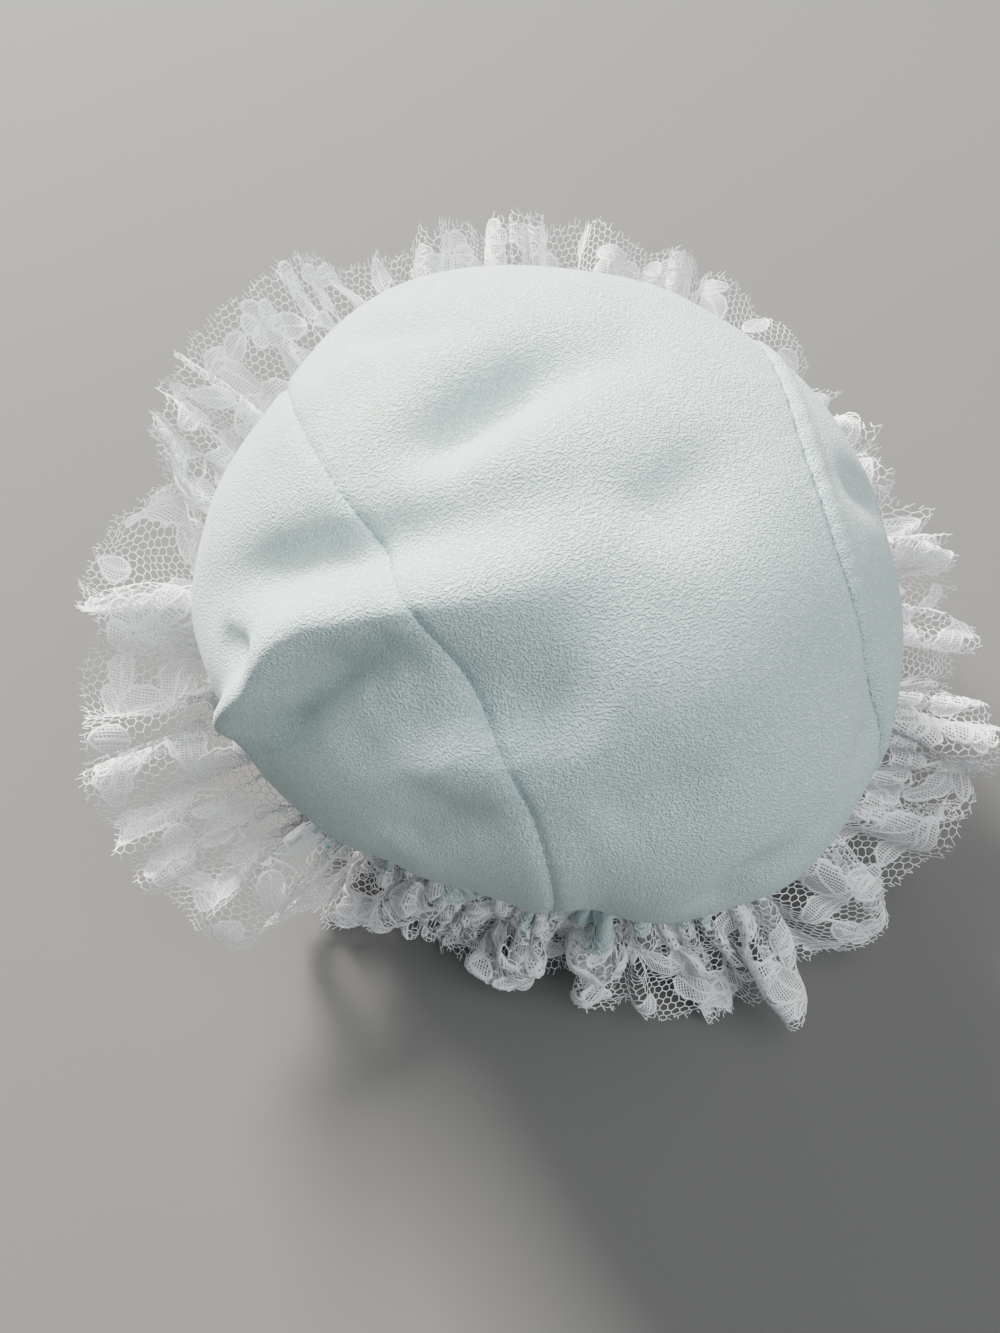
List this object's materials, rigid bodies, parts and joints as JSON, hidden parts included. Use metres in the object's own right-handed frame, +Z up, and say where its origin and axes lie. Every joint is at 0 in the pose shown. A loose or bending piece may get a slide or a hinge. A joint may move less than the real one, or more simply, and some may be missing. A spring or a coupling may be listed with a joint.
{
  "type": "ruffled mob cap",
  "caption": "Soft puffed cap in pale aqua crepe with a panelled crown gathered into an elastic casing and ruffles of white lace round the brim.",
  "frame": {"origin": "centre of the bounding box at the level of the lower lace frill's edge, on which the cap stands", "axes": "+Z up through the crown, +Y towards the forehead, +X towards the wearer's right"},
  "size_m": [0.3636, 0.3733, 0.2299],
  "materials": {
    "crepe": "matte pebbled crepe weave",
    "lace": "matte knitted net with woven leaf motifs",
    "aqua_thread": "satin polyester thread",
    "white_thread": "satin polyester thread",
    "elastic": "matte braided elastic"
  },
  "bodies": {
    "root": {"crown_centre_panel": "crepe", "crown_left_panel": "crepe", "crown_right_panel": "crepe", "left_seam_allowance": "crepe", "right_seam_allowance": "crepe", "elastic_casing": "crepe", "brim_frill": "crepe", "brim_rolled_hem": "crepe", "upper_lace_frill": "lace", "lower_lace_frill": "lace", "left_seam_thread": "aqua_thread", "right_seam_thread": "aqua_thread", "crown_gathering_thread": "aqua_thread", "casing_fold_stitching": "aqua_thread", "brim_gathering_thread": "aqua_thread", "upper_lace_stitching": "white_thread", "lower_lace_stitching": "white_thread", "left_thread_tail": "white_thread", "right_thread_tail": "white_thread", "elastic_join_stitching": "white_thread", "elastic_band": "elastic"}
  },
  "joints": []
}
